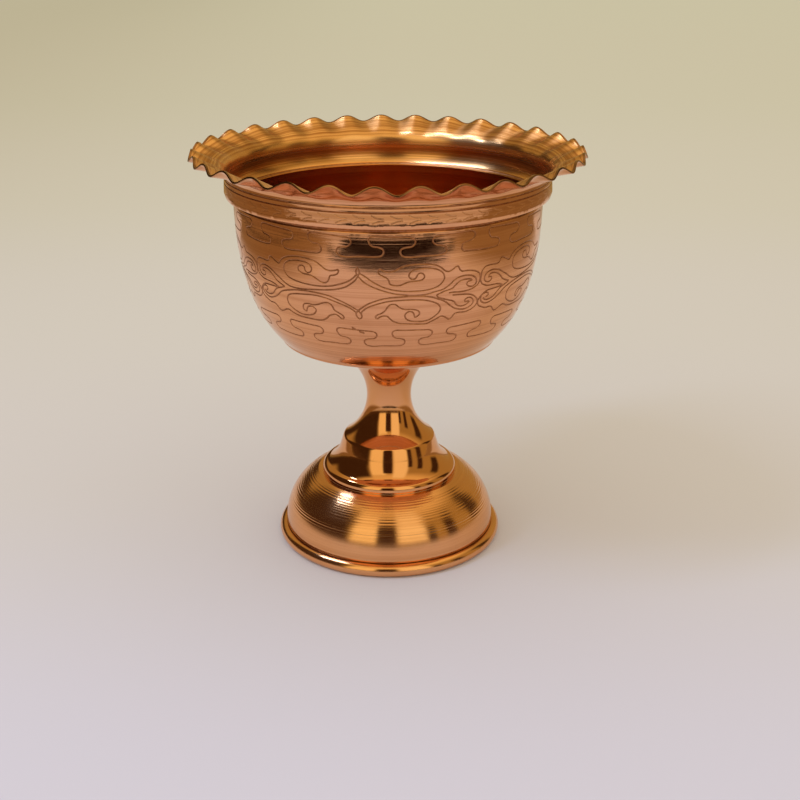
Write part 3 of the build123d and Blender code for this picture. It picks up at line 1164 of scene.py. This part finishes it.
    def inside(self) -> Line:
        """Gives the inside from the brim's root down to the pole.

        Returns:
            The points, from above.
        """
        neck_radius = self.collar[2][0] - self.sheet
        collar = [(r - self.sheet, z) for r, z in arc_through(*self.collar, 8)]
        wall = self.wall(22, self.sheet)
        floor = self.floor_z + self.sheet
        corner = (self.floor_radius - 0.16, floor)
        root = (self.brim_root[0] - self.brim_sheet, self.brim_root[1])
        line = joined([root, (neck_radius, 150.4)], collar[::-1], wall[::-1], straight(wall[0], corner, 4),
                      straight(corner, (0.0, floor), 3))
        line = eased(line, wall[0], 1.6, 5)
        return eased(line, corner, 2.0, 4)

    def crimp(self, verts: list[bmesh.types.BMVert], section: Line, shares: list[float]) -> None:
        """Lifts the brim's vertices into its crimps.

        Args:
            verts: Vertices of the spun brim.
            section: The brim's section.
            shares: Share of a crimp's height at each point of it.
        """
        table = {(round(r, 3), round(z, 3)): s for (r, z), s in zip(section, shares)}
        for vert in verts:
            x, y, z = vert.co
            spot = (round(math.hypot(x, y) / MM, 3), round(z / MM, 3))
            near = min(table, key=lambda key: math.dist(key, spot)) if spot not in table else spot
            phase = self.crimps * (math.atan2(x, -y) - math.radians(self.first_crest))
            wave = math.cos(phase) - self.crimp_round * math.cos(2 * phase)
            lift = self.crimp_height * table[near] * wave
            tilt = math.radians(self.brim_slope)
            shrink = 1 - lift * math.sin(tilt) / spot[0]
            vert.co = (x * shrink, y * shrink, z + lift * math.cos(tilt) * MM)

    def build(self) -> bpy.types.Object:
        """Builds the bowl.

        Returns:
            The piece.
        """
        bm = bmesh.new()
        for name in ("skin", "groove"):
            bm.verts.layers.float_vector.new(name)
        bm.faces.layers.int.new("band")
        ornament = Ornament()
        turn_section(bm, self.underside(), self.steps, Skin.OUTSIDE.value)
        strokes = ornament.scrolls()
        strokes += [ornament.key_border(*keys) for keys in (self.lower_keys, self.upper_keys)]
        strokes += ornament.slips
        wall = self.stretch(self.wall(400), *self.cut_z, 60)
        EngravedBand(wall, strokes, self.cut_width, self.cut_depth, self.steps).build(bm)
        for run, skin in self.throat() + self.neck():
            turn_section(bm, run, self.steps, skin.value)
        collar = self.stretch(self.collar_line(160), *self.collar_cut_z, 16)
        leaves = ornament.collar_leaves(*self.leaf_z)
        dashes = EngravedBand(collar, leaves, self.dash_width, self.dash_depth, self.steps, Skin.LIGHT_CUT)
        dashes.build(bm)
        section, shares = self.brim()
        first, last = shares.index(1.0), len(shares) - 1 - shares[::-1].index(1.0)
        for start, stop, skin in ((0, first, Skin.OUTSIDE), (first, last - 1, Skin.RAW_EDGE),
                                  (last - 1, len(shares) - 1, Skin.INSIDE)):
            part = section[start:stop + 1]
            self.crimp(turn_section(bm, part, self.steps, skin.value), part, shares[start:stop + 1])
        inside = self.inside()
        turn = next(i for i, (_, z) in enumerate(inside) if z < self.collar[0][1] + 0.01)
        turn_section(bm, inside[:turn + 1], self.steps, Skin.INSIDE.value)
        # Below the collar the inside takes the well's painted shade.
        turn_section(bm, inside[turn:], self.steps, Skin.WELL.value)
        close_shell(bm)
        finishes = (SATIN_OUTSIDE, BRIGHT_INSIDE, CUT_LINE, LIGHT_CUT, RAW_EDGE, PAINTED_SHADE_WELL)
        piece = make_piece(bm, "bowl_shell", [finish.material() for finish in finishes])
        self.lay_normals(piece.data)
        hand_over(piece, "bowl")
        return piece

    @staticmethod
    def lay_normals(mesh: bpy.types.Mesh) -> None:
        """Gives the engraved bands the exact normals of the wall and of the cuts.

        Args:
            mesh: The bowl's mesh.
        """
        def column(items: object, name: str, kind: type, width: int = 1) -> np.ndarray:
            """Reads one value of every item.

            Args:
                items: Part of the mesh.
                name: The value's name.
                kind: Type of its numbers.
                width: Numbers in each value.

            Returns:
                One row for each item.
            """
            values = np.empty(len(items) * width, kind)
            items.foreach_get(name, values)
            return values.reshape(-1, width) if width > 1 else values

        corners = column(mesh.loops, "vertex_index", np.int32)
        normals = column(mesh.corner_normals, "vector", np.float32, 3)
        skin = column(mesh.attributes["skin"].data, "vector", np.float32, 3)
        groove = column(mesh.attributes["groove"].data, "vector", np.float32, 3)
        counts = column(mesh.polygons, "loop_total", np.int32)
        in_band = np.repeat(column(mesh.attributes["band"].data, "value", np.int32), counts) == 1
        in_cut = np.repeat(column(mesh.polygons, "material_index", np.int32), counts) >= Skin.ENGRAVED.value
        known = in_band & (np.linalg.norm(skin[corners], axis=1) > 0.5)
        plain, cut = known & ~in_cut, known & in_cut
        normals[plain] = skin[corners[plain]]
        normals[cut] = groove[corners[cut]]
        mesh.normals_split_custom_set(normals.tolist())
        for name in ("skin", "groove", "band"):
            mesh.attributes.remove(mesh.attributes[name])


@dataclass
class Stem:
    """The trumpet stem between the base and the bowl."""

    steps: int = 256
    sheet: float = 0.9
    mouth: Point = (22.5, 79.5)
    mouth_z: float = 80.0
    waist: Point = (9.0, 59.75)
    shoulder: Point = (18.6, 42.75)
    step: Point = (19.9, 38.6)
    flare_start: Point = (25.2, 31.05)
    flare_radius: float = 13.0
    lip: Point = (27.4, 28.95)
    lip_radius: float = 2.4
    foot_z: float = 27.55

    def outside(self) -> Line:
        """Gives the outside from the mouth down to the foot.

        Returns:
            The points, from above.
        """
        trumpet = arc_through(self.mouth, self.waist, self.shoulder, 48)
        flare = arc_of_radius(self.step, self.flare_start, -self.flare_radius, 14)
        ring = arc_of_radius(self.flare_start, self.lip, self.lip_radius, 8)
        line = joined([(self.mouth[0] - 0.1, self.mouth_z)], trumpet, [self.step], flare, ring,
                      [(self.lip[0], self.foot_z)])
        line = eased(line, self.shoulder, 0.7, 5)
        return eased(line, self.step, 0.5, 4)

    def section(self) -> Line:
        """Gives the closed section of the sheet.

        Returns:
            The points: the outside from above, then the inside from below.
        """
        outer = self.outside()
        points = np.array(outer)
        along = headings(points)
        inner = points + np.stack([along[:, 1], -along[:, 0]], 1) * self.sheet
        inner = [(r, z) for r, z in inner.tolist() if self.foot_z < z < self.mouth_z]
        return outer + [(inner[-1][0], self.foot_z)] + inner[::-1] + [(inner[0][0], self.mouth_z)]

    def build(self) -> bpy.types.Object:
        """Builds the stem."""
        return spun_piece("stem_trumpet", "stem", [(self.section(), 0)], self.steps,
                          [MIRROR_STEM.material()], closed=True)


@dataclass
class Base:
    """The domed base, whose rim is rolled round a wire."""

    steps: int = 288
    sheet: float = 0.9
    top_z: float = 27.4
    hole_radius: float = 24.2
    dome_start: Point = (29.4, 27.4)
    dome_centre: Point = (19.36, 6.0)
    dome_radius: float = 23.64
    turned_from: float = 61.0  # angle up the dome at which the tool marks begin
    turned_to: float = 21.0
    mark_depth: float = 0.06
    mark_pitch: float = 1.05
    tuck: tuple[Point, ...] = ((43.0, 6.0), (43.0, 4.215), (41.75, 4.215), (41.75, 2.43))
    wire_centre: Point = (43.4, 2.43)
    roll_radius: float = 1.65
    roll_turn: float = 282.0
    lining: tuple[Point, ...] = ((40.85, 2.43), (40.85, 4.215), (42.1, 4.215), (42.1, 6.0))
    wire_radius: float = 1.6
    wire_steps: int = 192
    vault_turn: float = 64.3  # degrees of the dome's inside, up to the land

    def dome(self) -> Line:
        """Gives the dome's outside from the land down to the tuck.

        Returns:
            The points, from above.
        """
        r, z = self.dome_start
        start = math.degrees(math.atan2(z - self.dome_centre[1], r - self.dome_centre[0]))
        crown = arc_about(self.dome_centre, self.dome_radius, start, self.turned_from - start, 6)
        sweep = self.turned_to - self.turned_from
        turned = arc_about(self.dome_centre, self.dome_radius, self.turned_from, sweep, 130)
        skirt = arc_about(self.dome_centre, self.dome_radius, self.turned_to, -self.turned_to, 12)
        return joined(crown, turned_lines(turned, self.mark_depth, self.mark_pitch), skirt)

    def runs(self) -> list[tuple[Line, int]]:
        """Gives the section of the sheet with its rolled rim.

        Returns:
            The runs, each with its material's place.
        """
        outer = joined([(self.hole_radius, self.top_z)], [self.dome_start], self.dome())
        tuck = bezier(list(self.tuck), 8)
        inner_roll = arc_about(self.wire_centre, self.roll_radius, 180.0, self.roll_turn, 36)
        bead = arc_about(self.wire_centre, self.roll_radius + self.sheet, 180.0, self.roll_turn, 48)
        vault = arc_about(self.dome_centre, self.dome_radius - self.sheet, 0.0, self.vault_turn, 24)
        under = joined(bezier(list(self.lining), 8), vault, [(self.hole_radius, self.top_z - self.sheet)])
        bead = [(r, max(z, 0.0)) for r, z in bead]
        rest = joined([tuck[-1]], inner_roll, bead[::-1], under, outer[:1])
        # The tuck takes the painted shade of its crease; the rest is turned copper.
        return [(outer + tuck[1:2], 0), (tuck[1:], 1), (rest, 0)]

    def build(self) -> bpy.types.Object:
        """Builds the base."""
        return spun_piece("base_dome", "base", self.runs(), self.steps,
                          [TURNED_BASE.material(), PAINTED_SHADE_TUCK.material()])

    def build_wire(self) -> bpy.types.Object:
        """Builds the wire in the rolled rim.

        Returns:
            The piece.
        """
        ring = arc_about(self.wire_centre, self.wire_radius, 0.0, 360.0, 20)[:-1]
        return spun_piece("base_wire_ring", "base_wire", [(ring, 0)], self.wire_steps,
                          [DRAWN_WIRE.material()], closed=True)


@dataclass
class SolderSeams:
    """The two soldered seams that hold the stem."""

    steps: int = 192
    bowl_film_z: Point = (80.0, 80.15)
    bowl_inner: float = 21.6
    bowl_fillet: tuple[Point, Point, Point] = ((23.3, 80.15), (22.76, 79.89), (22.5, 79.5))
    base_film_z: Point = (27.4, 27.55)
    base_outer: float = 27.4
    base_fillet: tuple[Point, Point, Point] = ((25.7, 27.4), (26.12, 27.78), (26.5, 28.35))

    def build(self) -> list[bpy.types.Object]:
        """Builds both seams.

        Returns:
            The pieces.
        """
        low, high = self.bowl_film_z
        bowl = joined([(self.bowl_inner, low)], [(self.bowl_inner, high)], arc_through(*self.bowl_fillet, 6),
                      [(self.bowl_fillet[2][0] - 0.05, low)])
        low, high = self.base_film_z
        base = joined([(self.base_outer, high)], [(self.base_outer, low)], arc_through(*self.base_fillet, 6),
                      [(self.base_fillet[2][0] + 0.02, high)])
        material = SOFT_SOLDER.material()
        seams = (("bowl_seam", "bowl_solder", bowl), ("base_seam", "base_solder", base))
        return [spun_piece(name, node, [(section, 0)], self.steps, [material], closed=True)
                for name, node, section in seams]


# Studio


@dataclass(frozen=True)
class Patch:
    """A soft-edged part of the surround, by bearing and elevation in degrees."""

    bearings: Point
    elevations: Point
    colour: Colour
    soft: float = 5.0


@dataclass(frozen=True)
class Ground:
    """A darker part of the ground that only reflections see, and the stretch of an axis where it deepens."""

    name: str
    axis: str
    near: float
    far: float
    colour: Colour


@dataclass(frozen=True)
class Lamp:
    """A soft lamp: place and size in metres, power in watts, and the kinds of ray that don't see it."""

    name: str
    place: tuple[float, float, float]
    size: Point
    power: float
    colour: Colour
    unseen: tuple[str, ...]


@dataclass
class Studio:
    """Floor, surround, light and camera."""

    eye: tuple[float, float, float] = (0.0045, -0.470, 0.245)
    pitch: float = 68.2  # degrees from looking straight down
    lens: float = 55.8
    floor_size: float = 10.0
    painted_floor_light_stops: tuple[tuple[float, Colour], ...] = (
        (-1.2, (0.62, 0.60, 0.62)), (-0.45, (0.62, 0.60, 0.68)), (-0.18, (0.62, 0.60, 0.76)),
        (0.05, (0.61, 0.575, 0.61)), (0.3, (0.61, 0.58, 0.59)), (0.65, (0.60, 0.575, 0.545)),
        (1.3, (0.585, 0.57, 0.52)), (3.0, (0.58, 0.575, 0.52)))  # distance along Y, colour; painted light: bluish at the front and warmer further back, as the window light falls off
    floor_painted_shade: Colour = (0.25, 0.20, 0.12)  # painted shade: what the floor darkens to on its left
    floor_painted_shade_share: float = 0.24
    backdrop: Colour = (0.58, 0.52, 0.36)
    fill: Colour = (1.02, 0.93, 0.70)  # soft light on the floor
    surround: Colour = (0.42, 0.30, 0.10)  # what the metal reflects, with the patches
    patches: tuple[Patch, ...] = (
        Patch((-200.0, 200.0), (50.0, 95.0), (0.88, 0.68, 0.30), 10.0),
        Patch((-44.0, -8.0), (2.0, 52.0), (1.08, 0.93, 0.50)),
        Patch((-170.0, -48.0), (1.0, 20.0), (0.05, 0.025, 0.01), 5.0),
        Patch((-128.0, -48.0), (3.0, 58.0), (0.05, 0.025, 0.01), 7.0),
        Patch((10.0, 44.0), (3.0, 62.0), (1.08, 0.96, 0.58)),
        Patch((-14.0, 8.0), (5.0, 46.0), (0.045, 0.018, 0.008), 2.5),
        Patch((44.0, 54.0), (0.0, 26.0), (0.05, 0.022, 0.01), 2.5),
        Patch((67.0, 80.0), (0.0, 32.0), (0.05, 0.022, 0.01), 3.0),
        Patch((104.0, 122.0), (4.0, 40.0), (0.05, 0.025, 0.01), 4.0),
        Patch((-100.0, 42.0), (0.0, 5.0), (0.07, 0.035, 0.015), 1.5))
    lamps: tuple[Lamp, ...] = (
        Lamp("window", (-0.655, -0.265, 0.923), (0.13, 0.5), 3.2, (0.50, 0.68, 1.0), ("camera", "glossy")),
        Lamp("skylight", (-0.444, 0.161, 1.14), (0.17, 0.6), 7.0, (0.50, 0.66, 1.0), ("camera", "diffuse")))
    cards: tuple[tuple[Point, Point], ...] = (
        ((-0.25, 0.31), (-0.545, -0.358)), ((-0.29, 0.34), (-0.348, -0.308)),
        ((-0.475, -0.455), (-0.5, 0.5)))  # dark, x and y
    card_colour: Colour = (0.012, 0.006, 0.004)
    card_z: float = 0.003
    grounds: tuple[Ground, ...] = (
        Ground("left", "X", -0.23, -0.37, (0.25, 0.17, 0.09)),
        Ground("right", "X", 0.26, 0.40, (0.29, 0.21, 0.12)),
        Ground("back", "Y", 0.36, 0.68, (0.33, 0.23, 0.09)))
    ground_z: float = 0.001
    ground_step: float = 0.0004  # height of each ground above the one before
    ground_reach: float = 4.0
    side_grounds_y: Point = (-0.4, 3.0)
    back_ground_x: Point = (-0.4, 0.45)

    def build(self) -> None:
        """Builds the studio."""
        self.add_camera()
        self.add_floor()
        self.add_lamps()
        self.add_cards()
        self.light_world()

    def add_camera(self) -> None:
        """Places the camera at the picture's viewing angle."""
        data = bpy.data.cameras.new("camera")
        data.lens = self.lens
        data.sensor_width = 36.0
        data.clip_start = 0.01
        camera = bpy.data.objects.new("camera", data)
        camera.location = self.eye
        camera.rotation_euler = (math.radians(self.pitch), 0.0, 0.0)
        bpy.context.scene.collection.objects.link(camera)
        bpy.context.scene.camera = camera

    def add_floor(self) -> None:
        """Lays a pale floor with painted light: its colour warms away from the camera and darkens on its
        left.
        """
        bm = bmesh.new()
        bmesh.ops.create_grid(bm, x_segments=1, y_segments=1, size=self.floor_size / 2)
        material, nodes = new_material("pale_floor")
        place = nodes.add("ShaderNodeTexCoord").outputs["Object"]
        parts = nodes.add("ShaderNodeSeparateXYZ", {"Vector": place})
        depth = parts.outputs["Y"]
        colour: object = self.painted_floor_light_stops[0][1]
        for (near, _), (far, next_colour) in zip(self.painted_floor_light_stops, self.painted_floor_light_stops[1:]):
            colour = nodes.mix(nodes.between(depth, near, far), colour, next_colour)
        # Painted shade towards the floor's left.
        left_painted_shade = nodes.between(parts.outputs["X"], -0.9, 0.1, (self.floor_painted_shade_share, 0.0))
        colour = nodes.mix(left_painted_shade, colour, self.floor_painted_shade)
        nodes.to_surface(nodes.add("ShaderNodeBsdfDiffuse", {"Color": colour}))
        make_piece(bm, "floor", [material])

    def add_lamps(self) -> None:
        """Hangs the soft lamps, each turned to the middle of the object."""
        for lamp in self.lamps:
            data = bpy.data.lights.new(lamp.name, "AREA")
            data.shape = "RECTANGLE"
            data.size, data.size_y = lamp.size
            data.energy = lamp.power
            data.color = lamp.colour
            light = bpy.data.objects.new(lamp.name, data)
            light.location = lamp.place
            aim = Vector((0.0, 0.0, 0.08)) - Vector(lamp.place)
            light.rotation_euler = aim.to_track_quat("-Z", "Y").to_euler()
            for kind in lamp.unseen:
                setattr(light, f"visible_{kind}", False)
            bpy.context.scene.collection.objects.link(light)

    def add_cards(self) -> None:
        """Lays cards round the object that only reflections see: dark ones and an ochre ground."""
        dark, nodes = new_material("dark_card")
        nodes.to_surface(nodes.add("ShaderNodeBsdfDiffuse", {"Color": (*self.card_colour, 1.0)}))
        self.lay_card("dark_cards", dark, self.cards, self.card_z)
        for lift, ground in enumerate(self.grounds):
            tint, nodes = new_material(f"{ground.name}_ground")
            place = nodes.add("ShaderNodeTexCoord").outputs["Object"]
            along = nodes.add("ShaderNodeSeparateXYZ", {"Vector": place}).outputs[ground.axis]
            share = nodes.between(nodes.math("ABSOLUTE", along), abs(ground.near), abs(ground.far))
            colour = nodes.mix(share, self.painted_floor_light_stops[3][1], ground.colour)
            nodes.to_surface(nodes.add("ShaderNodeBsdfDiffuse", {"Color": colour}))
            reach = tuple(sorted((ground.near, math.copysign(self.ground_reach, ground.near))))
            sides = (reach, self.side_grounds_y) if ground.axis == "X" else (self.back_ground_x, reach)
            self.lay_card(f"{ground.name}_card", tint, (sides,), self.ground_z + self.ground_step * lift)

    @staticmethod
    def lay_card(name: str, material: bpy.types.Material, sides: tuple[tuple[Point, Point], ...],
                 z: float) -> None:
        """Lays flat rectangles that only reflections see.

        Args:
            name: Name of the card.
            material: Its material.
            sides: The reach of each rectangle in x and in y, in metres.
            z: Height of the card.
        """
        bm = bmesh.new()
        for xs, ys in sides:
            corners = [(xs[i], ys[j], z) for i, j in ((0, 0), (1, 0), (1, 1), (0, 1))]
            bm.faces.new([bm.verts.new(c) for c in corners])
        card = make_piece(bm, name, [material])
        for kind in ("camera", "diffuse", "shadow", "transmission", "volume_scatter"):
            setattr(card, f"visible_{kind}", False)

    def light_world(self) -> None:
        """Paints the surround that the metal reflects, and a plain backdrop for the camera."""
        world = bpy.data.worlds.new("surround")
        world.use_nodes = True
        bpy.context.scene.world = world
        nodes = Nodes(world.node_tree)
        way = nodes.add("ShaderNodeTexCoord").outputs["Generated"]
        parts = nodes.add("ShaderNodeSeparateXYZ", {"Vector": way})
        back = nodes.math("MULTIPLY", parts.outputs["Y"], -1.0)
        bearing = nodes.math("DEGREES", nodes.math("ARCTAN2", parts.outputs["X"], back))
        elevation = nodes.math("DEGREES", nodes.math("ARCSINE", parts.outputs["Z"]))
        colour: object = self.surround
        for patch in self.patches:
            share: object = 1.0
            for value, (low, high) in ((bearing, patch.bearings), (elevation, patch.elevations)):
                rise = nodes.between(value, low - patch.soft, low + patch.soft)
                fall = nodes.between(value, high - patch.soft, high + patch.soft, (1.0, 0.0))
                share = nodes.math("MULTIPLY", share, nodes.math("MULTIPLY", rise, fall))
            colour = nodes.mix(share, colour, patch.colour)
        path = nodes.add("ShaderNodeLightPath")
        colour = nodes.mix(path.outputs["Is Glossy Ray"], self.fill, colour)
        colour = nodes.mix(path.outputs["Is Camera Ray"], colour, self.backdrop)
        light = nodes.add("ShaderNodeBackground", {"Color": colour, "Strength": 1.0})
        nodes.add("ShaderNodeOutputWorld", {"Surface": light.outputs["Background"]})


def main() -> None:
    """Builds the pieces in order, then the studio."""
    logging.basicConfig(level=logging.INFO, format="%(message)s")
    bpy.context.scene.view_settings.view_transform = "Standard"
    Bowl().build()
    Stem().build()
    base = Base()
    base.build()
    base.build_wire()
    SolderSeams().build()
    Studio().build()


if __name__ == "__main__":
    main()
